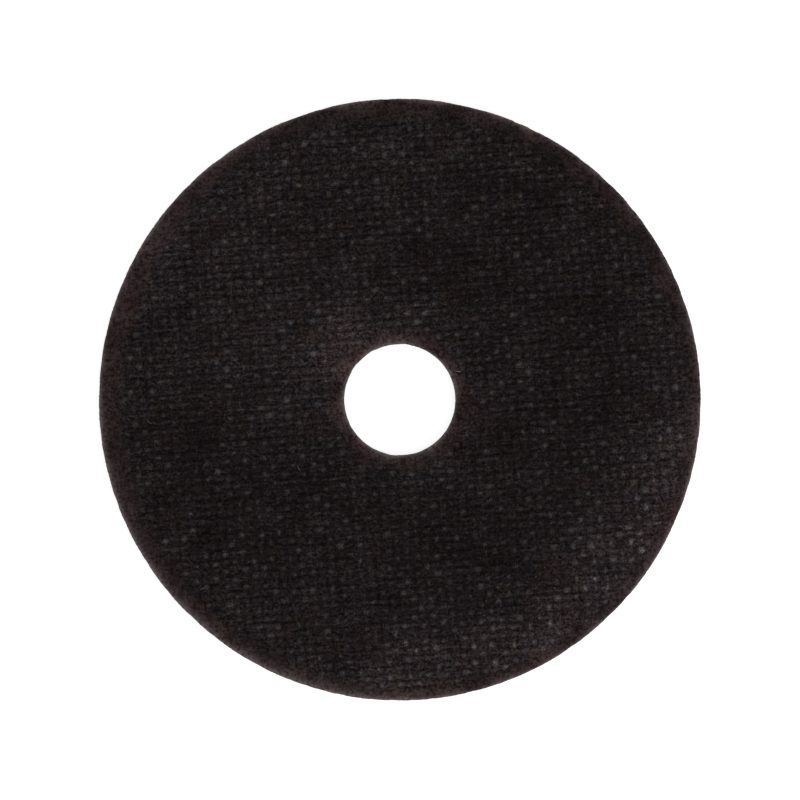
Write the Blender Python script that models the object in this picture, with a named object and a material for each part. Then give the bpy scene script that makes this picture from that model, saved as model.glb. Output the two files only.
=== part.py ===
# Abrasive grinding wheel: a thin flat disc of abrasive grain in hard resin,
# pressed between two layers of woven cloth, with a plain round bore.
# It lies flat with its underside on z = 0 and the bore's axis on Z.
# Lengths are in metres.

import math

import bmesh
import bpy
from mathutils import Vector

# Wheel body
OUTSIDE_DIAMETER = 0.125
BORE_DIAMETER = 0.023
THICKNESS = 0.0025
RIM_EDGE_BREAK = 0.00015
BORE_EDGE_BREAK = 0.0001

# Bands of bare bond that the cloth leaves at the rim and at the bore,
# the slope down to the cloth, and the flat strip between that slope and the nearest knuckles
RIM_BAND = 0.003
BORE_BAND = 0.0022
CLOTH_EDGE_SLOPE = 0.0003
CLOTH_EDGE_STRIP = 0.0003

# Plain weave: level weft rows crossed by upright warp threads
WARP_SPACING = 0.002007
WEFT_SPACING = 0.001746
WEFT_ANGLE = math.radians(4.1)
WARP_ANGLE = math.radians(95.0)
WEAVE_OFFSET_X = -0.00106
WEAVE_OFFSET_Y = 0.00016
KNUCKLE_HEIGHT = 0.00025

# Valleys between the weft rows on the underside
VALLEY_WIDTH = 0.0009
VALLEY_DEPTH = 0.0002
SHORTEST_VALLEY = 0.004

# Facets round the rim and the bore
RIM_SEGMENTS = 120
BORE_SEGMENTS = 60
ROUND_ANGLE = math.radians(8)
SAME_PLACE = 1e-6

# Finish: almost black brown resin over dark cloth
BOND_COLOUR = (0.016, 0.012, 0.013, 1.0)
BOND_ROUGHNESS = 0.6


def rim_radius():
    return OUTSIDE_DIAMETER / 2


def bore_radius():
    return BORE_DIAMETER / 2


def cloth_outer_radius():
    return rim_radius() - RIM_BAND


def cloth_inner_radius():
    return bore_radius() + BORE_BAND


def cloth_height():
    """Level of the cloth between its knuckles, whose tops are flush with the bands."""
    return THICKNESS - KNUCKLE_HEIGHT


def clear_scene():
    """Remove whatever the scene holds."""
    for item in list(bpy.data.objects):
        bpy.data.objects.remove(item, do_unlink=True)


def weft_direction():
    return Vector((math.cos(WEFT_ANGLE), math.sin(WEFT_ANGLE), 0))


def warp_direction():
    return Vector((math.cos(WARP_ANGLE), math.sin(WARP_ANGLE), 0))


def crossing(warp, weft, height=0.0):
    """Place where a warp thread crosses a weft row, both counted from the first knuckle."""
    first = Vector((WEAVE_OFFSET_X, WEAVE_OFFSET_Y, height))
    return first + warp * WARP_SPACING * weft_direction() + weft * WEFT_SPACING * warp_direction()


def edges_of(verts):
    """Edges that meet the given vertices, each once and in a fixed order."""
    return list(dict.fromkeys(edge for vert in verts for edge in vert.link_edges))


def open_circle(bm, radius, height):
    """Open edges that lie on one circle round the Z axis."""
    def on_circle(vert):
        return (math.isclose(vert.co.xy.length, radius, abs_tol=SAME_PLACE)
                and math.isclose(vert.co.z, height, abs_tol=SAME_PLACE))
    return [edge for edge in bm.edges if edge.is_boundary and all(map(on_circle, edge.verts))]


def turned_profile(radius, edge_break, band_radius, cloth_radius):
    """Radii and heights from the cloth's edge over the band and down the wall to the underside."""
    outward = 1 if radius > band_radius else -1
    face_radius = radius - outward * edge_break
    return (
        (cloth_radius, cloth_height()),
        (band_radius, THICKNESS),
        (face_radius, THICKNESS),
        (radius, THICKNESS - edge_break),
        (radius, edge_break),
        (face_radius, 0.0),
    )


def turned_surface(bm, profile, segments):
    """Surface swept by an open profile round the Z axis. Returns the edges of its two end circles."""
    points = [bm.verts.new((radius, 0, height)) for radius, height in profile]
    lines = [bm.edges.new(pair) for pair in zip(points, points[1:])]
    bmesh.ops.spin(bm, geom=points + lines, cent=(0, 0, 0), axis=(0, 0, 1), angle=math.tau,
                   steps=segments, use_merge=True)
    return open_circle(bm, *profile[0]), open_circle(bm, *profile[-1])


def rim_surface(bm):
    cloth_edge = cloth_outer_radius() - CLOTH_EDGE_SLOPE
    profile = turned_profile(rim_radius(), RIM_EDGE_BREAK, cloth_outer_radius(), cloth_edge)
    return turned_surface(bm, profile, RIM_SEGMENTS)


def bore_surface(bm):
    cloth_edge = cloth_inner_radius() + CLOTH_EDGE_SLOPE
    profile = turned_profile(bore_radius(), BORE_EDGE_BREAK, cloth_inner_radius(), cloth_edge)
    return turned_surface(bm, profile, BORE_SEGMENTS)


def fill(bm, *outlines):
    """Flat face between an outline and the outlines inside it."""
    edges = [edge for outline in outlines for edge in outline]
    bmesh.ops.triangle_fill(bm, use_beauty=True, use_dissolve=False, edges=edges)


def knuckle_bases():
    """Round each crossing where the warp comes over, the four crossings where it goes under.

    Only knuckles that lie whole on the cloth are given."""
    outermost = cloth_outer_radius() - CLOTH_EDGE_SLOPE - CLOTH_EDGE_STRIP
    innermost = cloth_inner_radius() + CLOTH_EDGE_SLOPE + CLOTH_EDGE_STRIP
    reach = int(OUTSIDE_DIAMETER / min(WARP_SPACING, WEFT_SPACING))
    for weft in range(-reach, reach + 1):
        for warp in range(-reach, reach + 1):
            if (warp + weft) % 2:
                continue
            base = ((warp + 1, weft), (warp, weft + 1), (warp - 1, weft), (warp, weft - 1))
            distances = [crossing(*corner).length for corner in base]
            if innermost < min(distances) and max(distances) < outermost:
                yield base


def woven_face(bm):
    """Top layer of cloth: a knuckle at each crossing where the warp comes over.

    Returns the edges of the cloth's outer and inner outlines."""
    verts = {}
    knuckles = []
    for base in knuckle_bases():
        for corner in base:
            if corner not in verts:
                verts[corner] = bm.verts.new(crossing(*corner, cloth_height()))
        knuckles.append(bm.faces.new([verts[corner] for corner in base]))
    outlines = [edge for edge in edges_of(verts.values()) if edge.is_boundary]
    middle = (cloth_outer_radius() + cloth_inner_radius()) / 2
    outer = [edge for edge in outlines if edge.verts[0].co.xy.length > middle]
    inner = [edge for edge in outlines if edge.verts[0].co.xy.length <= middle]
    bm.normal_update()
    bmesh.ops.poke(bm, faces=knuckles, offset=KNUCKLE_HEIGHT)
    return outer, inner


def valley_stretches(offset):
    """Where a valley at this distance from the centre runs over cloth, as starts and ends along it."""
    far_side = abs(offset) + VALLEY_WIDTH / 2
    near_side = max(abs(offset) - VALLEY_WIDTH / 2, 0)
    if far_side >= cloth_outer_radius():
        return []
    outer = math.sqrt(cloth_outer_radius() ** 2 - far_side ** 2)
    stretches = [(-outer, outer)]
    if near_side < cloth_inner_radius():
        inner = math.sqrt(cloth_inner_radius() ** 2 - near_side ** 2)
        stretches = [(-outer, -inner), (inner, outer)]
    return [(start, end) for start, end in stretches if end - start > SHORTEST_VALLEY]


def valley(bm, start, end, offset):
    """V-shaped valley in the underside, with sloping ends. Returns the edges of its outline."""
    along = weft_direction()
    across = Vector((-along.y, along.x, 0))
    side = VALLEY_WIDTH / 2 * across
    line = offset * across
    corners = [bm.verts.new(line + place * along + lean)
               for place, lean in ((start, -side), (end, -side), (end, side), (start, side))]
    depth = Vector((0, 0, VALLEY_DEPTH))
    slope = VALLEY_WIDTH / 2
    floor = [bm.verts.new(line + place * along + depth) for place in (start + slope, end - slope)]
    bm.faces.new((corners[0], corners[1], floor[1], floor[0]))
    bm.faces.new((corners[2], corners[3], floor[0], floor[1]))
    bm.faces.new((corners[1], corners[2], floor[1]))
    bm.faces.new((corners[3], corners[0], floor[0]))
    return [edge for edge in edges_of(corners) if edge.is_boundary]


def valley_outlines(bm):
    """Valleys between all the weft rows of the underside. Returns the edges of their outlines."""
    across = Vector((-weft_direction().y, weft_direction().x, 0))
    reach = int(OUTSIDE_DIAMETER / WEFT_SPACING)
    outlines = []
    for row in range(-reach, reach + 1):
        offset = crossing(0, row + 0.5).dot(across)
        for start, end in valley_stretches(offset):
            outlines.append(valley(bm, start, end, offset))
    return outlines


def wheel_mesh():
    """Closed mesh of the whole wheel: two turned surfaces, the woven top and the ribbed underside."""
    bm = bmesh.new()
    rim_top, rim_under = rim_surface(bm)
    bore_top, bore_under = bore_surface(bm)
    cloth_outer, cloth_inner = woven_face(bm)
    fill(bm, rim_top, cloth_outer)
    fill(bm, cloth_inner, bore_top)
    fill(bm, rim_under, bore_under, *valley_outlines(bm))
    bmesh.ops.recalc_face_normals(bm, faces=bm.faces)
    mesh = bpy.data.meshes.new("grinding_wheel")
    bm.to_mesh(mesh)
    bm.free()
    return mesh


def bond_material():
    """Hard resin bond with dark grain."""
    material = bpy.data.materials.new("resin_bond")
    material.use_nodes = True
    shader = material.node_tree.nodes["Principled BSDF"]
    shader.inputs["Base Color"].default_value = BOND_COLOUR
    shader.inputs["Roughness"].default_value = BOND_ROUGHNESS
    shader.inputs["Metallic"].default_value = 0.0
    return material


def build_wheel():
    """The wheel as one object, standing at the origin."""
    mesh = wheel_mesh()
    mesh.shade_smooth()
    mesh.set_sharp_from_angle(angle=ROUND_ANGLE)
    mesh.materials.append(bond_material())
    wheel = bpy.data.objects.new("grinding_wheel", mesh)
    bpy.context.scene.collection.objects.link(wheel)
    return wheel


clear_scene()
build_wheel()
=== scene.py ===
"""Thin flat abrasive wheel, lying on a pale floor and seen from straight above.

Grain, resin and cloth are pressed and cured as one piece. Here it is made as a rim band and a bore
band of bare bond, and between them the woven facing: a sheet of cloth soaked in dark resin on each
face, whose warp and weft stand out as low knuckles and rows. A few loose fibres lie on the top.
"""
import math

import bpy
import numpy as np
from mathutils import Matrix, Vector


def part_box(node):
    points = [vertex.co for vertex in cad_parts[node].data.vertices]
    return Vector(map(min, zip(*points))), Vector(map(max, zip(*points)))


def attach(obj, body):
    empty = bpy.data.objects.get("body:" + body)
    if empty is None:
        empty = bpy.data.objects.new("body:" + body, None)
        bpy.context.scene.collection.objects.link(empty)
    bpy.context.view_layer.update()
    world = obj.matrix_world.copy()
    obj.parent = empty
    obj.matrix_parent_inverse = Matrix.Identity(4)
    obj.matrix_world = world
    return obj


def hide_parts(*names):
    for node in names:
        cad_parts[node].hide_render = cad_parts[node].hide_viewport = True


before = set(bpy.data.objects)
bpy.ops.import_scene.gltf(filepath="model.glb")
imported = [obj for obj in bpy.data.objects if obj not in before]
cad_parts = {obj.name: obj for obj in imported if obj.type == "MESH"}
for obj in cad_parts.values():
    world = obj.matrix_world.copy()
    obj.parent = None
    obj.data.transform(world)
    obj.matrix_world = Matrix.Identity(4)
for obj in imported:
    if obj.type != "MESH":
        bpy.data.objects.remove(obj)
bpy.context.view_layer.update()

MM = 0.001

# The wheel: its outside from the frame, and its bore and its edges as in the CAD
WHEEL_LOW, WHEEL_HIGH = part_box("grinding_wheel")
RIM_RADIUS = (WHEEL_HIGH[0] - WHEEL_LOW[0]) / 2
THICKNESS = WHEEL_HIGH[2] - WHEEL_LOW[2]
BORE_RADIUS = 11.5 * MM
EDGE_BREAK = 0.15 * MM

# Bands of bare bond at the rim and at the bore, where the cloth starts, and how much further out it
# reaches at the lower right and less far out at the left. The cloth fades out over its edge, so that
# the rim's band looks about 3 mm wide
RIM_BAND = 2.0 * MM
BORE_BAND = 2.2 * MM
FURTHER_OUT = 1.1 * MM
LESS_FAR_OUT = 1.0 * MM
FURTHER_OUT_REACH = (15 * MM, 50 * MM)
LESS_FAR_OUT_REACH = (25 * MM, 60 * MM)
CLOTH_OUTER = RIM_RADIUS - RIM_BAND
CLOTH_INNER = BORE_RADIUS + BORE_BAND

# The bands' faces: their level, how far they run under the cloth and sink there, and how far the cloth
# runs over them
BAND_LEVEL = THICKNESS - 0.012 * MM
BAND_OVERLAP = 1.2 * MM
BAND_SINK = 0.16 * MM
CLOTH_TUCK = 0.4 * MM

# Where the brown bond shows through the cloth and where its threads sink away: from all to nothing,
# as distances from the rim and as radii at the bore; and their ragged edges, as wavelength and depth
BARE_AT_RIM = (2.0 * MM, 4.6 * MM)
BARE_AT_BORE = (CLOTH_INNER - 1.6 * MM, CLOTH_INNER + 2.2 * MM)
BARE_EDGE = ((2.5 * MM, 0.35 * MM), (8 * MM, 0.35 * MM))
SUNK_AT_RIM = (2.5 * MM, 4.2 * MM)
SUNK_AT_BORE = (CLOTH_INNER - 0.5 * MM, CLOTH_INNER + BAND_OVERLAP)
SUNK_EDGE = ((3 * MM, 0.3 * MM),)

# Skin of the bands: grain, chips and waves that go into the walls, and grain and swell on the faces.
# Chips, waves and swell have a wavelength, a depth and the most that they reach, in depths
WALL_GRAIN = 0.1 * MM
CHIP_LENGTH, CHIP_DEPTH, MOST_CHIP = 4 * MM, 0.05 * MM, 2
WAVE_LENGTH, WAVE_DEPTH, MOST_WAVE = 14 * MM, 0.02 * MM, 3
FACE_GRAIN = 0.012 * MM
FACE_SETTLE = 0.009 * MM
SWELL_LENGTH, SWELL_HEIGHT, MOST_SWELL = 3 * MM, 0.006 * MM, 1.5

# Grids of the bands: steps round the wheel, and points over each face and over the wall
RIM_STEPS, RIM_FACE_POINTS = 1500, 22
BORE_STEPS, BORE_FACE_POINTS = 420, 18
WALL_POINTS = 11

# Plain weave, as measured in the photograph
WARP_SPACING = 2.007 * MM
WEFT_SPACING = 1.746 * MM
WEFT_ANGLE = math.radians(4.1)
WARP_ANGLE = math.radians(95.0)
FIRST_KNUCKLE = np.array([-1.06 * MM, 0.16 * MM])
WEFT_WAY = np.array([math.cos(WEFT_ANGLE), math.sin(WEFT_ANGLE)])
WARP_WAY = np.array([math.cos(WARP_ANGLE), math.sin(WARP_ANGLE)])

# Soaked threads: half thickness, widths and how far each swings up and down
HALF_THREAD = 0.11 * MM
WARP_WIDTH = 1.3 * MM
WEFT_WIDTH = 1.62 * MM
WARP_CRIMP = 0.13 * MM
WEFT_CRIMP = 0.065 * MM
WEFT_RISE = 0.015 * MM
THREAD_MIDDLE = THICKNESS - 0.015 * MM - WARP_CRIMP - HALF_THREAD
MOST_THREADS = 40
FACE_CLEARANCE = 0.003 * MM

# Resin between the threads: its level, its swell as wavelength and height, and its fillets
RESIN_LEVEL = THREAD_MIDDLE + 0.13 * MM
RESIN_SWELL = ((2.2 * MM, 0.012 * MM), (11 * MM, 0.01 * MM))
FILLET = 0.012 * MM
FILLET_DROP = FILLET * 0.3

# How far the threads wander from their lines, as wavelength and share of their spacing
WARP_WANDER = ((17 * MM, 0.035), (5 * MM, 0.02))
WEFT_WANDER = ((15 * MM, 0.03), (4 * MM, 0.02))

# Random factors: spread, and lowest and highest where they have limits
WARP_SHARE = (0.08,)
WEFT_SHARE = (0.06,)
KNUCKLE_SHARE = (0.22, 0.4, 1.0)
DRY_GLINT_STRENGTH = (0.3, 0.3, 1.9)
SPOT_SHARE = (0.28, 0.5, 1.7)

# Dry tops with painted glint, in shares of the thread spacings: a spot on each knuckle, a line on each
# weft; and the full middle of each crossing, painted lighter than the hollows between the threads as
# painted shade. The spots lie a little aside and ahead at random, and the lines follow them
SPOT_WANDER = 0.09
SPOT_WIDTH, SPOT_LENGTH = 0.22, 0.2
LINE_LENGTH, LINE_WIDTH, LINE_AHEAD = 0.36, 0.16, 0.05
LINE_FOLLOWS = 0.5
MIDDLE_WIDTH, MIDDLE_LENGTH, MIDDLE_AHEAD = 0.42, 0.3, 0.03

# How dry the tops are where no resin soaks through, which sets their dry fibre and painted glint
# alike. The lower right gets more painted glint, and its spots are longer
UNSOAKED = 1.25
LOWER_RIGHT_GLINT_REACH = (25 * MM, 55 * MM)
LOWER_RIGHT_GLINT = 0.15
LONGER = 0.2

# Loose fibres: how many, their usual radius, bend and range of lengths in millimetres, and how their
# ends sink and thin out
FIBRES = 5
FIBRE_RADIUS = 0.02 * MM
FIBRE_BEND = 1.2
FIBRE_LENGTHS = (0.9, 2.4)
FIBRE_MARGIN = 1 * MM
FIBRE_CLEARANCE = 0.004 * MM
FIBRE_SINK = 0.16 * MM
FIBRE_TAPER = 0.6

# The thicker fibre beside the bore: distance from the centre, angle round it, heading, bend, length
# and radius
BORE_FIBRE = (12.7 * MM, math.radians(29.3), math.radians(-8), 0.9, 1.9 * MM, 0.042 * MM)

# Grid of the woven facing: points to each thread spacing, and the strips' edges in warp spacings
WARP_POINTS = 7
WEFT_POINTS = 6
STRIP_EDGES = (-33, -9, 9, 33)
FARTHEST_ROW = 38

# Seeds of the random draws
WEAR_SEED, BARENESS_SEED, SOAKED_SEED = 5, 6, 7
TOP_SEED, UNDER_SEED = 21, 22
RIM_SEED, BORE_SEED = 31, 32
FIBRES_SEED = 41

# The photograph's frame: where the wheel's circle lies in its 800 x 800 pixels
PHOTO_SIZE = 800
PHOTO_CENTRE = (399.34, 399.17)
PHOTO_RADIUS = 301.3
CAMERA_HEIGHT = 0.7
SENSOR = 36.0

# Colours, linear
RESIN_DARK = (0.0018, 0.0009, 0.0010, 1)
RESIN_LIGHT = (0.0197, 0.0145, 0.0153, 1)
# dry fibre on the threads' tops, which also stands in for their painted glint
DRY_FIBRE_AND_GLINT = (0.068, 0.058, 0.060, 1)
BAND_DARK = (0.0040, 0.0020, 0.0020, 1)
BAND_LIGHT = (0.0245, 0.0160, 0.0163, 1)
CHAFED_BOND = (0.170, 0.135, 0.135, 1)
GLASS_FIBRE = (0.28, 0.25, 0.25, 1)
FLOOR_GREY = (0.8, 0.8, 0.8, 1)
WHITE = (1, 1, 1, 1)

# Tints that the resin wanders between, as factors
COOL_TINT = (0.97, 0.99, 1.06, 1)
WARM_TINT = (1.03, 1.01, 0.96, 1)
CLOTH_TINT = (0.99, 1.01, 1.01, 1)
SOAKED_TINT = (1.03, 0.955, 0.93, 1)

# Noises of the finish that count metres, as scale and detail
GRAIN = ((1700, 1650, 1700), 1.5)
FINE_GRAIN = (4600, 0)
SPECKS = (2600, 0)
BLOTCHES = (850, 1)
TINTS = (260, 2)

# Noises of the finish that count thread spacings, as scale and detail
WARP_STREAKS = ((6, 3.5, 1), 1)
WARP_SPECKS = ((9, 5.5, 1), 0)
WEFT_STREAKS = ((1.3, 3.8, 1), 2)
STRANDS = ((0.18, 3.2, 1), 1)

# Contrasts of the finish: the noise that counts as nothing, and the noise that counts as all
RESIN_CONTRAST = (0.46, 0.75)
BOND_CONTRAST = (0.47, 0.83)
SPECK_CONTRAST = (0.72, 0.82)
TINT_CONTRAST = (0.36, 0.64)
WARP_STREAK_CONTRAST = (0.3, 0.65)
WARP_SPECK_CONTRAST = (0.48, 0.66)
WEFT_CONTRAST = (0.32, 0.68)
CHAFED_CONTRAST = (0.1, 0.6)

# Small relief of the finish: heights, and strength
STREAK_RELIEF = 0.06 * MM
GRAIN_RELIEF = 0.12 * MM
RELIEF_STRENGTH = 0.5

# How much lighter places are: painted sheen towards the lower right of the rim, and wear all round the
# rim and the bore. The lower right's painted sheen fades again at the very rim
LOWER_RIGHT_SHEEN = 0.75
LOWER_RIGHT_REACH = (28 * MM, 62 * MM)
LOWER_RIGHT_RADII = (35 * MM, 60 * MM)
FADING = 0.45
FADING_RADII = (59 * MM, 61 * MM)
RIM_WEAR = 0.38
RIM_WEAR_RADII = (42 * MM, 60 * MM)
BORE_WEAR = 1.0
BORE_WEAR_REACH = 6 * MM

# Mottling over the wear and the painted sheen, as wavelength and strength, with its limits; and the
# same for where the resin soaks through, with the field's values from dry to soaked
MOTTLING = ((24 * MM, 0.07), (8 * MM, 0.1), (3.2 * MM, 0.08))
MOTTLING_LIMITS = (-0.3, 0.45)
SOAKING = ((20 * MM, 0.6), (7 * MM, 0.6))
SOAKED_RANGE = (0.1, 1.8)

# How far the very edges of the bands are chafed pale: further at the lower left, varying round the
# wheel by a wavelength, a spread and a limit in spreads, and sparing the walls
CHAFE_REACH = 0.32 * MM
CHAFED_SIDE = 0.8
CHAFED_SIDE_REACH = (25 * MM, 60 * MM)
CHAFE_LENGTH, CHAFE_SPREAD, MOST_CHAFE = 9 * MM, 0.25, 2
WALL_SPARED = 0.9

# Lighter and darker patches in the photograph: place and spread in millimetres, and strength
PATCHES = (
    # the large lighter patch at the upper left is painted sheen
    (-32, 18, 19, 0.55),
    (-30, -40, 9, -0.1),
    (-23, -8, 7, -0.15),
    (-22, -54, 9, 0.25),
    (-8, 55, 8, 0.3),
    (-4, -56, 13, 0.4),
    (59, -16, 10, 0.3),
    (42, -38, 9, 0.28),
    (38, 24, 10, -0.1),
    (28, 52, 9, -0.15),
    (18, 38, 10, 0.12),
    (-52, -8, 10, -0.22),
    (9, -22, 12, -0.15),
    (-10, 10, 6, 1.25),
    (-8, -9, 4, -0.2),
)

# The stage: the floor's half width and glow, and the even light of the sky
FLOOR_REACH = 3.0
FLOOR_GLOW = 0.6
SKY_STRENGTH = 0.45


def smoothstep(value, low, high):
    """Zero up to low, one from high, and an S curve between."""
    share = np.clip((value - low) / (high - low), 0.0, 1.0)
    return share * share * (3 - 2 * share)


def ripples(x, y, length, rng, count=14):
    """Smooth random field with a spread of about one: a sum of sine waves that run in random
    directions, with wavelengths round the one given."""
    total = np.zeros_like(x)
    for _ in range(count):
        way = 2 * np.pi * rng.random()
        wave = 2 * np.pi / (length * rng.uniform(0.7, 1.6))
        total += np.sin(wave * (x * math.cos(way) + y * math.sin(way)) + 2 * np.pi * rng.random())
    return total * math.sqrt(2 / count)


def rippled(value, x, y, layers, rng):
    """Value with smooth random fields added to it, each given as wavelength and strength."""
    for length, strength in layers:
        value = value + strength * ripples(x, y, length, rng)
    return value


def varied(rng, shape, spread, lowest=-np.inf, highest=np.inf):
    """Random factors round one, with a spread and limits."""
    return np.clip(1 + spread * rng.standard_normal(shape), lowest, highest)


def towards_lower(side, x, y, low, high):
    """How far a place lies towards the lower right (side 1) or the lower left (side -1): zero up to a
    distance of low from the centre, one from high."""
    return smoothstep((side * x - y) / math.sqrt(2), low, high)


def wear_and_sheen(x, y):
    """How much lighter the wheel is than its darkest part, as a factor, from a place in the plane:
    wear round the rim and the bore, tone that varies from place to place, and painted sheen towards
    the lower right of the rim and at the upper left.
    """
    rng = np.random.default_rng(WEAR_SEED)
    radius = np.hypot(x, y)
    # painted sheen: lighter towards the lower right of the rim, fading at the very rim
    lower_right = towards_lower(1, x, y, *LOWER_RIGHT_REACH) * smoothstep(radius, *LOWER_RIGHT_RADII)
    lower_right = lower_right * (1 - FADING * smoothstep(radius, *FADING_RADII))
    rim = smoothstep(radius, *RIM_WEAR_RADII)
    bore = np.exp((BORE_RADIUS - radius) / BORE_WEAR_REACH)
    total = 1 + LOWER_RIGHT_SHEEN * lower_right + RIM_WEAR * rim + BORE_WEAR * bore
    for patch_x, patch_y, spread, strength in PATCHES:
        square = (x / MM - patch_x) ** 2 + (y / MM - patch_y) ** 2
        total += strength * np.exp(-square / (2 * spread ** 2))
    return total * (1 + np.clip(rippled(0.0, x, y, MOTTLING, rng), *MOTTLING_LIMITS))


def to_rim(x, y):
    """Distance inwards from the rim, more at the lower right and less at the left, where the cloth's
    edge lies further out and further in than elsewhere."""
    further = FURTHER_OUT * towards_lower(1, x, y, *FURTHER_OUT_REACH)
    return RIM_RADIUS - np.hypot(x, y) + further - LESS_FAR_OUT * smoothstep(-x, *LESS_FAR_OUT_REACH)


def soaked(x, y):
    """How far the resin has soaked through the cloth: one where it browns and hides the threads'
    tops."""
    rng = np.random.default_rng(SOAKED_SEED)
    return smoothstep(rippled(0.0, x, y, SOAKING, rng), *SOAKED_RANGE)


def off_cloth(x, y, ragged, at_rim, at_bore):
    """One beyond the cloth's outer and inner edges, zero on the cloth, and a ragged step between."""
    beyond = 1 - smoothstep(to_rim(x, y) - ragged, *at_rim)
    return beyond + (1 - smoothstep(np.hypot(x, y) + ragged, *at_bore))


def bareness(x, y):
    """How far the cloth has given way to bare brown bond: zero on the cloth, one on the bands."""
    rng = np.random.default_rng(BARENESS_SEED)
    return off_cloth(x, y, rippled(0.0, x, y, BARE_EDGE, rng), BARE_AT_RIM, BARE_AT_BORE)


def add_value(piece, name, values):
    """Store one number for each point of a piece, for its material to read."""
    layer = piece.data.attributes.new(name, "FLOAT", "POINT")
    layer.data.foreach_set("value", values.astype(np.float32).ravel())


def add_place_values(piece, x, y):
    """Store what the material reads from a point's place, seen from its own side of the wheel."""
    add_value(piece, "wear_and_sheen", wear_and_sheen(x, y))
    add_value(piece, "bare_bond", bareness(x, y))
    add_value(piece, "soaked", soaked(x, y))


def make_piece(name, points, faces, normals=None, smooth=True):
    """Object from an array of points and a list of faces."""
    mesh = bpy.data.meshes.new(name)
    mesh.from_pydata(points.tolist(), [], faces)
    mesh.polygons.foreach_set("use_smooth", np.full(len(mesh.polygons), smooth))
    mesh.update()
    if normals is not None:
        mesh.normals_split_custom_set_from_vertices(normals.tolist())
    piece = bpy.data.objects.new(name, mesh)
    bpy.context.scene.collection.objects.link(piece)
    return piece


def from_lattice(u, v):
    """Place in the plane of a point counted in thread spacings from the first knuckle: u along the
    weft, v along the warp."""
    x = FIRST_KNUCKLE[0] + u * WARP_SPACING * WEFT_WAY[0] + v * WEFT_SPACING * WARP_WAY[0]
    y = FIRST_KNUCKLE[1] + u * WARP_SPACING * WEFT_WAY[1] + v * WEFT_SPACING * WARP_WAY[1]
    return x, y


def to_lattice(x, y):
    """Inverse of from_lattice."""
    turn = np.linalg.inv(np.array([WEFT_WAY * WARP_SPACING, WARP_WAY * WEFT_SPACING]).T)
    dx, dy = x - FIRST_KNUCKLE[0], y - FIRST_KNUCKLE[1]
    return turn[0, 0] * dx + turn[0, 1] * dy, turn[1, 0] * dx + turn[1, 1] * dy


def add_threads_map(piece, x, y):
    """UV map that counts thread spacings, so that streaks run along the threads."""
    corners = np.empty(len(piece.data.loops), dtype=np.int32)
    piece.data.loops.foreach_get("vertex_index", corners)
    lattice = np.stack(to_lattice(x, y), axis=-1)
    layer = piece.data.uv_layers.new(name="threads")
    layer.data.foreach_set("uv", lattice[corners].astype(np.float32).ravel())


def oval(across):
    """Height of a thread's flattened oval, as a share of its half thickness, from the place across it
    as a share of its half width."""
    return np.sqrt(np.clip(1 - across ** 2, 0, 1))


def bell(u, v):
    """One in the middle, fading all round."""
    return np.exp(-u ** 2 - v ** 2)


def highest_filleted(levels):
    """Highest of several surfaces, with a fillet of resin where they meet."""
    levels = np.stack(levels)
    top = levels.max(axis=0)
    return top + FILLET * np.log(np.exp((levels - top) / FILLET).sum(axis=0))


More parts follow.
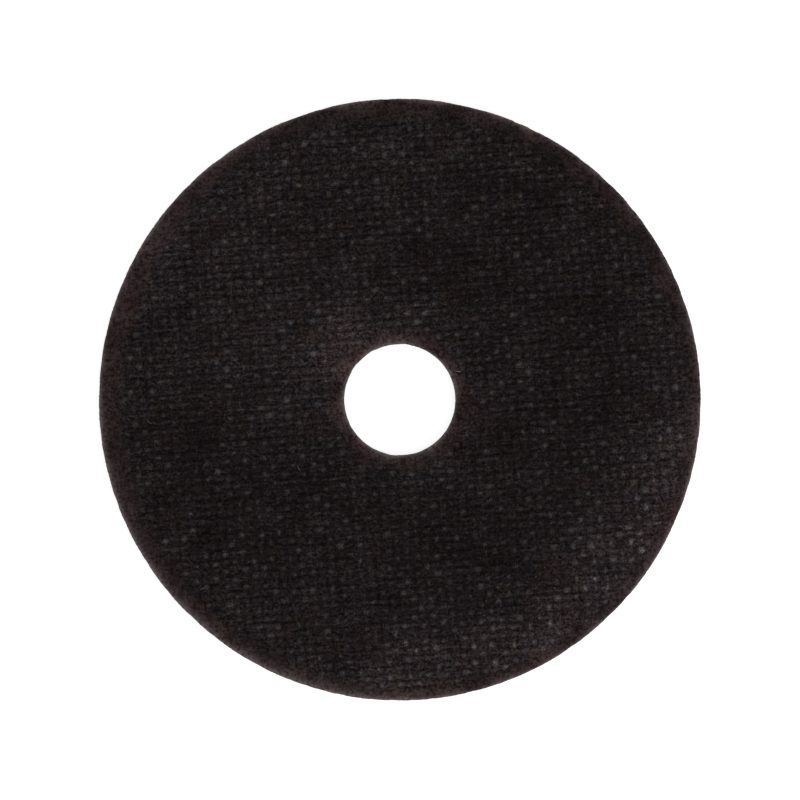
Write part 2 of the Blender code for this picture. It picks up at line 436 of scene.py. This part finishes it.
def facing_relief(x, y, seed):
    """Height of one woven face over its place in the plane, how strong the dry fibre and painted glint
    on its warp and weft tops are, and how near the middle of a crossing it is, which the material
    paints lighter than the hollows between the threads as painted shade.

    Each thread is a flattened oval on a line of the lattice. The warp rises as a cosine where it
    comes over and sinks where it goes under; the weft does the opposite, less deeply. The face is the
    highest of warp, weft and resin, filleted. Widths, heights and places vary a little and at
    random. Near the bands the threads sink away."""
    rng = np.random.default_rng(seed)
    u, v = to_lattice(x, y)
    u = rippled(u, x, y, WARP_WANDER, rng)
    v = rippled(v, x, y, WEFT_WANDER, rng)
    warp, weft = np.rint(u).astype(int), np.rint(v).astype(int)
    from_u, from_v = u - warp, v - weft

    threads = 2 * MOST_THREADS + 1
    grid = (threads, threads)
    here = (warp + MOST_THREADS, weft + MOST_THREADS)
    warp_share = varied(rng, threads, *WARP_SHARE)[here[0]]
    weft_share = varied(rng, threads, *WEFT_SHARE)[here[1]]
    knuckle_share = varied(rng, grid, *KNUCKLE_SHARE)[here]
    dry_glint_strength = varied(rng, grid, *DRY_GLINT_STRENGTH)[here]
    aside, ahead = SPOT_WANDER * rng.standard_normal((2, *grid))[:, *here]
    spot_width, spot_length = varied(rng, (2, *grid), *SPOT_SHARE)[:, *here]

    warp_oval = oval(from_u * WARP_SPACING / (WARP_WIDTH / 2 * warp_share))
    weft_oval = oval(from_v * WEFT_SPACING / (WEFT_WIDTH / 2 * weft_share))
    warp_swing = np.cos(np.pi * (v + warp))
    weft_swing = -np.cos(np.pi * (u + weft))
    over = warp_swing > 0
    lift = np.where(over, knuckle_share, 1.0)
    warp_top = THREAD_MIDDLE + WARP_CRIMP * warp_swing * lift + HALF_THREAD * warp_oval
    weft_top = THREAD_MIDDLE + WEFT_RISE + WEFT_CRIMP * weft_swing + HALF_THREAD * weft_oval
    resin = rippled(RESIN_LEVEL, x, y, RESIN_SWELL, rng)
    height = highest_filleted((warp_top, weft_top, resin)) - FILLET_DROP

    # painted glint on the tops is stronger towards the lower right
    lower_right = towards_lower(1, x, y, *LOWER_RIGHT_GLINT_REACH)
    dry_and_glint = dry_glint_strength * (UNSOAKED - soaked(x, y)) * (1 + LOWER_RIGHT_GLINT * lower_right)
    spot_u = (from_u - aside) / (SPOT_WIDTH * spot_width)
    spot_v = (from_v - ahead) / (SPOT_LENGTH * (1 + LONGER * lower_right) * spot_length)
    line_v = (from_v - LINE_AHEAD - LINE_FOLLOWS * ahead) / LINE_WIDTH
    # painted glint with dry fibre: a spot on each warp knuckle and a line along each weft top
    warp_dry_glint_spot = np.where(over, dry_and_glint * bell(spot_u, spot_v), 0)
    weft_dry_glint_line = np.where(over, 0, dry_and_glint * bell(from_u / LINE_LENGTH, line_v))
    # painted shade: one in the middle of each crossing, falling off into the hollows between the
    # threads
    middle = bell(from_u / MIDDLE_WIDTH, (from_v - MIDDLE_AHEAD) / MIDDLE_LENGTH)

    ragged = rippled(0.0, x, y, SUNK_EDGE, rng)
    sunk = off_cloth(x, y, ragged, SUNK_AT_RIM, SUNK_AT_BORE)
    height = np.minimum(height - BAND_SINK * sunk, THICKNESS - FACE_CLEARANCE)
    return height, warp_dry_glint_spot * (1 - sunk), weft_dry_glint_line * (1 - sunk), middle


def slope_normals(height_of, x, y, upward):
    """Normals of a height field, from its slopes over a short step."""
    step = 0.05 * MM
    along_x = (height_of(x + step, y) - height_of(x - step, y)) / (2 * step)
    along_y = (height_of(x, y + step) - height_of(x, y - step)) / (2 * step)
    normals = np.stack((-along_x, -along_y, np.ones_like(x)), axis=-1) * (1, 1, upward)
    return normals / np.linalg.norm(normals, axis=-1, keepdims=True)


def strip_cells(first, last):
    """Grid cells that lie on the cloth between two warp threads: the places of their corners, their
    quads, and the outline edges, which run so that the cells lie to their left."""
    column, row = np.meshgrid(
        np.arange(first * WARP_POINTS, last * WARP_POINTS + 1),
        np.arange(-FARTHEST_ROW * WEFT_POINTS, FARTHEST_ROW * WEFT_POINTS + 1), indexing="ij")
    x, y = from_lattice(column / WARP_POINTS, row / WEFT_POINTS)
    radius = np.hypot(x, y)
    on_cloth = (radius < CLOTH_OUTER + CLOTH_TUCK) & (radius > CLOTH_INNER - CLOTH_TUCK)
    cell = on_cloth[:-1, :-1] & on_cloth[1:, :-1] & on_cloth[1:, 1:] & on_cloth[:-1, 1:]

    number = np.arange(x.size).reshape(x.shape)
    corner = (number[:-1, :-1], number[1:, :-1], number[1:, 1:], number[:-1, 1:])
    quads = np.stack(corner, axis=-1)[cell]
    padded = np.pad(cell, 1)
    beside = (padded[1:-1, :-2], padded[2:, 1:-1], padded[1:-1, 2:], padded[:-2, 1:-1])
    outline = []
    for start, end, neighbour in zip(corner, corner[1:] + corner[:1], beside):
        open_side = cell & ~neighbour
        outline.append(np.stack((start[open_side], end[open_side]), axis=-1))

    used = np.unique(quads)
    renumber = np.zeros(x.size, dtype=int)
    renumber[used] = np.arange(len(used))
    return x.ravel()[used], y.ravel()[used], renumber[quads], renumber[np.concatenate(outline)]


def woven_facing(name, first, last):
    """One upright strip of the cloth-faced middle of the wheel, closed all round.

    Both faces are height fields over one grid that follows the threads, and a wall joins them along
    the strip's outline."""
    x, y, quads, outline = strip_cells(first, last)
    count = len(x)
    top, *top_values = facing_relief(x, y, TOP_SEED)
    under, *under_values = facing_relief(x, -y, UNDER_SEED)
    both_x, both_y = np.tile(x, 2), np.tile(y, 2)
    points = np.stack((both_x, both_y, np.concatenate((top, THICKNESS - under))), axis=-1)
    start, end = outline[:, 0], outline[:, 1]
    wall = np.stack((end, start, start + count, end + count), axis=-1)
    faces = np.concatenate((quads, quads[:, ::-1] + count, wall))
    normals = np.concatenate((
        slope_normals(lambda a, b: facing_relief(a, b, TOP_SEED)[0], x, y, 1),
        slope_normals(lambda a, b: facing_relief(a, -b, UNDER_SEED)[0], x, y, -1)))
    piece = make_piece(name, points, faces.tolist(), normals)

    add_threads_map(piece, both_x, both_y)
    for value_name, *values in zip(("warp_dry_and_glint", "weft_dry_and_glint", "crossing_light"), top_values, under_values):
        add_value(piece, value_name, np.concatenate(values))
    add_place_values(piece, both_x, np.concatenate((y, -y)))
    return piece


def swept_ring(name, section, steps, outward, seed):
    """Ring made by turning a closed section round the Z axis. The section runs anticlockwise, seen
    with +X to the right and +Z up.

    Each point goes into the bond by a random grain depth, so the skin stays inside the wheel's
    size."""
    rng = np.random.default_rng(seed)
    radii, heights, wall = section
    upward = np.where(heights > THICKNESS / 2, 1.0, -1.0)
    turn = np.linspace(0, 2 * np.pi, steps, endpoint=False)[:, None]
    flat_x, flat_y = radii * np.cos(turn), radii * np.sin(turn)
    grain = rng.random((steps, len(radii))) ** 2
    chips = CHIP_DEPTH * np.clip(ripples(flat_x, flat_y, CHIP_LENGTH, rng), 0, MOST_CHIP)
    waves = WAVE_DEPTH * np.clip(1 + ripples(flat_x, flat_y, WAVE_LENGTH, rng), 0, MOST_WAVE)
    swell = np.clip(ripples(flat_x, flat_y, SWELL_LENGTH, rng), -MOST_SWELL, MOST_SWELL)
    radius = radii - outward * wall * (WALL_GRAIN * grain + chips + waves)
    height = heights - upward * (1 - wall) * (
        FACE_GRAIN * grain + FACE_SETTLE - SWELL_HEIGHT * swell)
    points = np.stack((radius * np.cos(turn), radius * np.sin(turn), height), axis=-1)

    sides = len(radii)
    ring, side = np.meshgrid(np.arange(steps), np.arange(sides), indexing="ij")
    next_ring, next_side = (ring + 1) % steps, (side + 1) % sides
    faces = np.stack((ring * sides + side, next_ring * sides + side,
                      next_ring * sides + next_side, ring * sides + next_side), axis=-1)
    piece = make_piece(name, points.reshape(-1, 3), faces.reshape(-1, 4).tolist())

    to_wall = np.abs(radii - radii[wall > 0].mean())
    further = 1 + CHAFED_SIDE * towards_lower(-1, flat_x, upward * flat_y, *CHAFED_SIDE_REACH)
    varying = np.clip(ripples(flat_x, flat_y, CHAFE_LENGTH, rng), -MOST_CHAFE, MOST_CHAFE)
    reach = CHAFE_REACH * (further + CHAFE_SPREAD * varying)
    add_value(piece, "chafed", np.exp(-to_wall / reach) * (1 - WALL_SPARED * wall))
    add_place_values(piece, flat_x, upward * flat_y)
    add_threads_map(piece, flat_x.ravel(), flat_y.ravel())
    return piece


def band_section(wall_radius, cloth_radius, face_points):
    """Section of a band of bare bond between a wall and the cloth: its radii, its heights, and which
    of its points lie on the wall. The two faces dip under the cloth's edge."""
    outward = 1.0 if wall_radius > cloth_radius else -1.0
    across = np.linspace(cloth_radius - outward * BAND_OVERLAP,
                         wall_radius - outward * EDGE_BREAK, face_points)
    dip = 1 - smoothstep(outward * (across - cloth_radius), -BAND_OVERLAP, CLOTH_TUCK)
    top = BAND_LEVEL - BAND_SINK * dip
    height = np.linspace(THICKNESS - EDGE_BREAK, EDGE_BREAK, WALL_POINTS)
    radii = np.concatenate((across, np.full(WALL_POINTS, wall_radius), across[::-1]))
    heights = np.concatenate((top, height, THICKNESS - top[::-1]))
    wall = np.concatenate((np.zeros(face_points), np.ones(WALL_POINTS), np.zeros(face_points)))
    if outward > 0:
        return radii[::-1], heights[::-1], wall[::-1]
    return radii, heights, wall


def rim_band():
    """Bare bond at the rim, with the wheel's outside wall."""
    section = band_section(RIM_RADIUS, CLOTH_OUTER, RIM_FACE_POINTS)
    return swept_ring("rim_band", section, RIM_STEPS, outward=1, seed=RIM_SEED)


def bore_band():
    """Bare bond round the bore, with the bore's wall."""
    section = band_section(BORE_RADIUS, CLOTH_INNER, BORE_FACE_POINTS)
    return swept_ring("bore_band", section, BORE_STEPS, outward=-1, seed=BORE_SEED)


def loose_fibres(count=FIBRES, steps=9, sides=5):
    """Short stray fibres that lie on the top, each a thin tube along an arc in the plane that sinks
    into the resin at both ends. The first is the one beside the bore in the photograph."""
    rng = np.random.default_rng(FIBRES_SEED)
    nearest, farthest = CLOTH_INNER + FIBRE_MARGIN, CLOTH_OUTER - FIBRE_MARGIN
    distance = np.sqrt(rng.uniform(nearest ** 2, farthest ** 2, count))
    around = rng.uniform(0, 2 * np.pi, count)
    way = rng.uniform(0, 2 * np.pi, count)
    bend = rng.uniform(-FIBRE_BEND, FIBRE_BEND, count)
    length = rng.uniform(*FIBRE_LENGTHS, count) * MM
    radius = np.full(count, FIBRE_RADIUS)
    distance[0], around[0], way[0], bend[0], length[0], radius[0] = BORE_FIBRE

    along = np.linspace(-0.5, 0.5, steps)
    to_end = (2 * along) ** 4
    turn = way[:, None] + bend[:, None] * along
    step_length = length[:, None]
    x = (distance * np.cos(around))[:, None] + np.cumsum(np.cos(turn), axis=1) / steps * step_length
    y = (distance * np.sin(around))[:, None] + np.cumsum(np.sin(turn), axis=1) / steps * step_length
    middle = THICKNESS - FIBRE_CLEARANCE - radius[:, None] - FIBRE_SINK * to_end
    thick = radius[:, None] * (1 - FIBRE_TAPER * to_end)
    ring = np.linspace(0, 2 * np.pi, sides, endpoint=False)
    out = thick[..., None] * np.cos(ring)
    points = np.stack((
        x[..., None] - np.sin(turn)[..., None] * out,
        y[..., None] + np.cos(turn)[..., None] * out,
        middle[..., None] + thick[..., None] * np.sin(ring)), axis=-1)

    fibre, step, side = np.meshgrid(
        np.arange(count), np.arange(steps - 1), np.arange(sides), indexing="ij")
    first = (fibre * steps + step) * sides
    next_side = (side + 1) % sides
    quads = np.stack((first + side, first + next_side,
                      first + sides + next_side, first + sides + side), axis=-1).reshape(-1, 4)
    starts = np.arange(count)[:, None] * steps * sides + np.arange(sides)[::-1]
    ends = np.arange(count)[:, None] * steps * sides + np.arange(sides) + (steps - 1) * sides
    faces = quads.tolist() + starts.tolist() + ends.tolist()
    return make_piece("loose_fibres", points.reshape(-1, 3), faces)


def seen_directly(tree):
    """One for what the camera sees, also in mirrors and through glass, and zero for what lights the
    wheel."""
    path = tree.nodes.new("ShaderNodeLightPath")
    seen = path.outputs["Is Camera Ray"]
    for ray in ("Is Glossy Ray", "Is Transmission Ray"):
        either = tree.nodes.new("ShaderNodeMath")
        either.operation = "MAXIMUM"
        tree.links.new(seen, either.inputs[0])
        tree.links.new(path.outputs[ray], either.inputs[1])
        seen = either.outputs["Value"]
    return seen


class Finish:
    """A material with a Principled shader, and short ways to add nodes to it."""

    def __init__(self, name, roughness, specular):
        self.material = bpy.data.materials.new(name)
        self.material.use_nodes = True
        self.tree = self.material.node_tree
        self.shader = self.tree.nodes["Principled BSDF"]
        self.shader.inputs["Roughness"].default_value = roughness
        self.shader.inputs["Specular IOR Level"].default_value = specular

    def feed(self, socket, value):
        """Link an output to a socket, or set the socket's value."""
        if isinstance(value, bpy.types.NodeSocket):
            self.tree.links.new(value, socket)
        else:
            socket.default_value = value

    def node(self, kind, inputs=(), **settings):
        """New node with settings, and inputs given as (name or number, value or output) pairs."""
        node = self.tree.nodes.new(kind)
        for key, value in settings.items():
            setattr(node, key, value)
        for key, value in inputs:
            self.feed(node.inputs[key], value)
        return node

    def noise(self, vector, scale, detail):
        """Noise with a scale, which may be one for each axis."""
        if isinstance(scale, tuple):
            inputs = (("Vector", vector), ("Scale", scale))
            vector = self.node("ShaderNodeMapping", inputs).outputs["Vector"]
            scale = 1
        inputs = (("Vector", vector), ("Scale", scale), ("Detail", detail))
        return self.node("ShaderNodeTexNoise", inputs).outputs["Fac"]

    def ramp(self, value, low, high):
        """Value carried from low..high to 0..1, with soft ends."""
        inputs = (("Value", value), ("From Min", low), ("From Max", high))
        node = self.node("ShaderNodeMapRange", inputs, interpolation_type="SMOOTHSTEP")
        return node.outputs["Result"]

    def math(self, operation, first, second):
        inputs = ((0, first), (1, second))
        return self.node("ShaderNodeMath", inputs, operation=operation).outputs["Value"]

    def mix(self, *parts):
        """Sum of values, each given with its weight."""
        total, *rest = [self.math("MULTIPLY", value, weight) for value, weight in parts]
        for part in rest:
            total = self.math("ADD", total, part)
        return total

    def value(self, name):
        """Number stored for each point of the piece."""
        return self.node("ShaderNodeAttribute", attribute_name=name).outputs["Fac"]

    def times(self, colour, factor):
        """Colour made lighter or darker by a factor."""
        inputs = ((0, colour), ("Scale", factor))
        return self.node("ShaderNodeVectorMath", inputs, operation="SCALE").outputs["Vector"]

    def tinted(self, colour, tint):
        """Colour times another."""
        inputs = ((0, colour), (1, tint))
        return self.node("ShaderNodeVectorMath", inputs, operation="MULTIPLY").outputs["Vector"]

    def blend(self, share, first, second):
        """Colour between two others."""
        node = self.node("ShaderNodeMix", data_type="RGBA")
        self.feed(node.inputs[0], share)
        self.feed(node.inputs[6], first)
        self.feed(node.inputs[7], second)
        return node.outputs[2]

    def bump(self, height, distance, strength, normal=None):
        inputs = [("Height", height), ("Distance", distance), ("Strength", strength)]
        if normal is not None:
            inputs.append(("Normal", normal))
        return self.node("ShaderNodeBump", inputs).outputs["Normal"]

    def done(self, colour, normal):
        self.feed(self.shader.inputs["Base Color"], colour)
        self.feed(self.shader.inputs["Normal"], normal)
        return self.material


def wheel_finish():
    """Nearly black resin over cloth, and brown bare bond at the bands, all with fine grain.

    Streaks run along the weft. Where the threads' tops are dry, their fibres show lighter, together
    with a painted glint, as streaks along the warp and along the weft. The middles of the crossings
    are painted lighter than the hollows between the threads, as painted shade. Wear and a painted
    sheen make whole regions lighter, and the very edges of the bands are chafed pale."""
    finish = Finish("resin_over_cloth", roughness=0.5, specular=0.02)
    place = finish.node("ShaderNodeTexCoord").outputs["Object"]
    threads = finish.node("ShaderNodeUVMap", uv_map="threads").outputs["UV"]
    grain = finish.noise(place, *GRAIN)
    fine_grain = finish.noise(place, *FINE_GRAIN)
    specks = finish.ramp(finish.noise(place, *SPECKS), *SPECK_CONTRAST)
    blotches = finish.noise(place, *BLOTCHES)
    tints = finish.ramp(finish.noise(place, *TINTS), *TINT_CONTRAST)
    weft_streaks = finish.noise(threads, *WEFT_STREAKS)
    strands = finish.noise(threads, *STRANDS)
    # painted shade: the crossings' middles lighter, the hollows between the threads darker
    crossing_light = finish.value("crossing_light")

    cloth = finish.mix((grain, 0.4), (weft_streaks, 0.26), (strands, 0.16), (fine_grain, 0.29),
                       (crossing_light, 0.05))
    resin = finish.blend(finish.ramp(cloth, *RESIN_CONTRAST), RESIN_DARK, RESIN_LIGHT)

    warp_streaks = finish.ramp(finish.noise(threads, *WARP_STREAKS), *WARP_STREAK_CONTRAST)
    warp_specks = finish.ramp(finish.noise(threads, *WARP_SPECKS), *WARP_SPECK_CONTRAST)
    ragged = finish.mix((warp_streaks, 0.6), (warp_specks, 0.75))
    # painted glint with dry fibre on the warp knuckles and the weft tops, in the colour of dry fibre
    warp_dry_glint = finish.math("MULTIPLY", finish.value("warp_dry_and_glint"), ragged)
    weft_ragged = finish.ramp(weft_streaks, *WEFT_CONTRAST)
    weft_dry_glint = finish.math("MULTIPLY", finish.value("weft_dry_and_glint"), weft_ragged)
    dry_and_glint = finish.mix((warp_dry_glint, 0.48), (weft_dry_glint, 0.1), (specks, 0.4))
    dry_and_glint = finish.math("MINIMUM", dry_and_glint, 1.0)

    bond_grain = finish.mix((grain, 0.45), (fine_grain, 0.3), (weft_streaks, 0.25), (blotches, 0.3))
    bond = finish.blend(finish.ramp(bond_grain, *BOND_CONTRAST), BAND_DARK, BAND_LIGHT)

    colour = finish.blend(finish.value("bare_bond"), finish.blend(dry_and_glint, resin, DRY_FIBRE_AND_GLINT), bond)
    colour = finish.tinted(colour, finish.blend(tints, COOL_TINT, WARM_TINT))
    soaked_tint = finish.blend(finish.value("soaked"), CLOTH_TINT, SOAKED_TINT)
    # wear and painted sheen: whole regions lighter
    colour = finish.times(finish.tinted(colour, soaked_tint), finish.value("wear_and_sheen"))
    grains = finish.ramp(grain, *CHAFED_CONTRAST)
    chafed = finish.math("MULTIPLY", finish.value("chafed"), grains)
    colour = finish.blend(chafed, colour, CHAFED_BOND)
    streaked = finish.bump(weft_streaks, STREAK_RELIEF, RELIEF_STRENGTH)
    return finish.done(colour, finish.bump(grain, GRAIN_RELIEF, RELIEF_STRENGTH, streaked))


def fibre_finish():
    """Pale glass fibre."""
    finish = Finish("glass_fibre", roughness=0.4, specular=0.5)
    finish.shader.inputs["Base Color"].default_value = GLASS_FIBRE
    return finish.material


def dress(piece, material):
    """Finish a piece of the wheel and let it stand for the wheel's solid."""
    piece.data.materials.append(material)
    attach(piece, "root")
    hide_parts("grinding_wheel")


def pale_floor():
    """Floor that the camera sees as white, apart from the wheel's soft shadow."""
    corners = FLOOR_REACH * np.array([(-1, -1, 0), (1, -1, 0), (1, 1, 0), (-1, 1, 0)])
    floor = make_piece("floor", corners, [(0, 1, 2, 3)], smooth=False)
    finish = Finish("floor_white", roughness=0.9, specular=0.2)
    finish.shader.inputs["Base Color"].default_value = FLOOR_GREY
    strength = finish.math("MULTIPLY", seen_directly(finish.tree), FLOOR_GLOW)
    glow = finish.node("ShaderNodeEmission", (("Strength", strength),)).outputs["Emission"]
    inputs = ((0, finish.shader.outputs["BSDF"]), (1, glow))
    both = finish.node("ShaderNodeAddShader", inputs).outputs["Shader"]
    finish.feed(finish.tree.nodes["Material Output"].inputs["Surface"], both)
    floor.data.materials.append(finish.material)


def white_world():
    """Even soft light all round, which the camera sees as white."""
    world = bpy.data.worlds.new("studio")
    world.use_nodes = True
    nodes, links = world.node_tree.nodes, world.node_tree.links
    soft = nodes["Background"]
    soft.inputs["Color"].default_value = WHITE
    soft.inputs["Strength"].default_value = SKY_STRENGTH
    white = nodes.new("ShaderNodeBackground")
    white.inputs["Color"].default_value = WHITE
    white.inputs["Strength"].default_value = 1.0
    choose = nodes.new("ShaderNodeMixShader")
    links.new(seen_directly(world.node_tree), choose.inputs["Fac"])
    links.new(soft.outputs["Background"], choose.inputs[1])
    links.new(white.outputs["Background"], choose.inputs[2])
    links.new(choose.outputs["Shader"], nodes["World Output"].inputs["Surface"])
    bpy.context.scene.world = world


def soft_light(name, place, size, watts):
    """Square softbox that faces the wheel's middle."""
    lamp = bpy.data.lights.new(name, "AREA")
    lamp.size = size
    lamp.energy = watts
    holder = bpy.data.objects.new(name, lamp)
    holder.location = place
    holder.rotation_euler = Vector(place).to_track_quat("Z", "Y").to_euler()
    holder.visible_camera = False
    bpy.context.scene.collection.objects.link(holder)


def overhead_camera():
    """Camera straight above, with the wheel's circle where the photograph has it."""
    camera = bpy.data.cameras.new("camera")
    pixel = RIM_RADIUS / PHOTO_RADIUS
    camera.sensor_width = SENSOR
    camera.lens = SENSOR * (CAMERA_HEIGHT - THICKNESS) / (PHOTO_SIZE * pixel)
    middle = (PHOTO_SIZE - 1) / 2
    across, up = (middle - PHOTO_CENTRE[0]) * pixel, (PHOTO_CENTRE[1] - middle) * pixel
    holder = bpy.data.objects.new("camera", camera)
    holder.location = (across, up, CAMERA_HEIGHT)
    bpy.context.scene.collection.objects.link(holder)
    bpy.context.scene.camera = holder


resin_over_cloth = wheel_finish()
dress(rim_band(), resin_over_cloth)
dress(bore_band(), resin_over_cloth)
for strip, edges in enumerate(zip(STRIP_EDGES, STRIP_EDGES[1:]), start=1):
    dress(woven_facing(f"woven_facing_{strip}", *edges), resin_over_cloth)
dress(loose_fibres(), fibre_finish())
pale_floor()
white_world()
soft_light("lower_right", place=(0.26, -0.24, 0.28), size=0.2, watts=1.1)
soft_light("upper_left", place=(-0.5, 0.5, 0.7), size=0.4, watts=2.5)
overhead_camera()
bpy.context.scene.view_settings.view_transform = "Standard"
